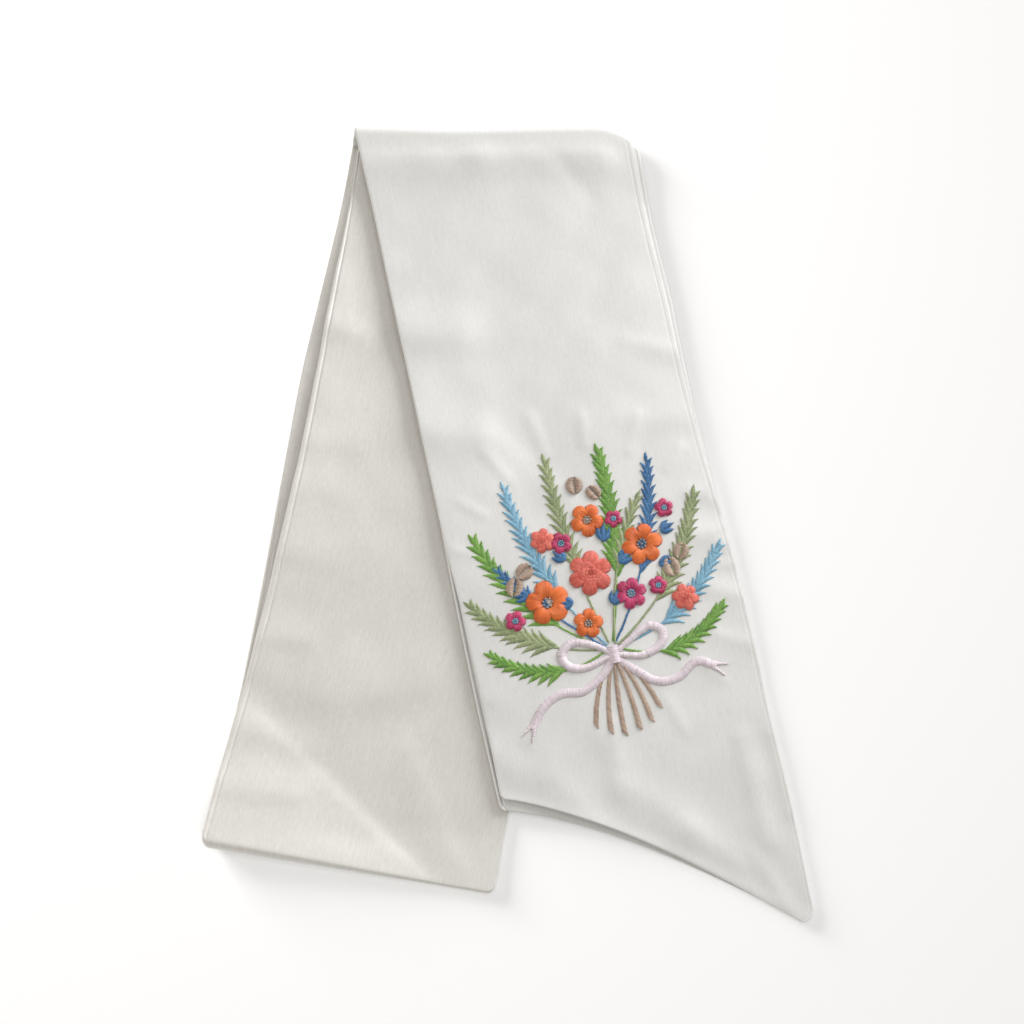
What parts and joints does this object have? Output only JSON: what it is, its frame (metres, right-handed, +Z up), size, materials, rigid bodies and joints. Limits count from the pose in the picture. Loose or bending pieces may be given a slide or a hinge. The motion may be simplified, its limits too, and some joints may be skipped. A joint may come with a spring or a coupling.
{
  "type": "folded sash",
  "caption": "Long flat satin sash with slanted ends, folded in half and then over, with an embroidered posy near one end.",
  "frame": {"origin": "on the table, under the middle of the folded sash's outline", "axes": "+Z up from the table, +Y along the sash towards its top fold, +X to the right, towards the slanted tip"},
  "size_m": [0.2692, 0.3701, 0.0129],
  "materials": {
    "ivory_satin": "heavy ivory satin, soft sheen"
  },
  "bodies": {
    "root": {"run_lower": "ivory_satin", "run_upper": "ivory_satin", "tail_lower": "ivory_satin", "tail_upper": "ivory_satin"}
  },
  "joints": []
}
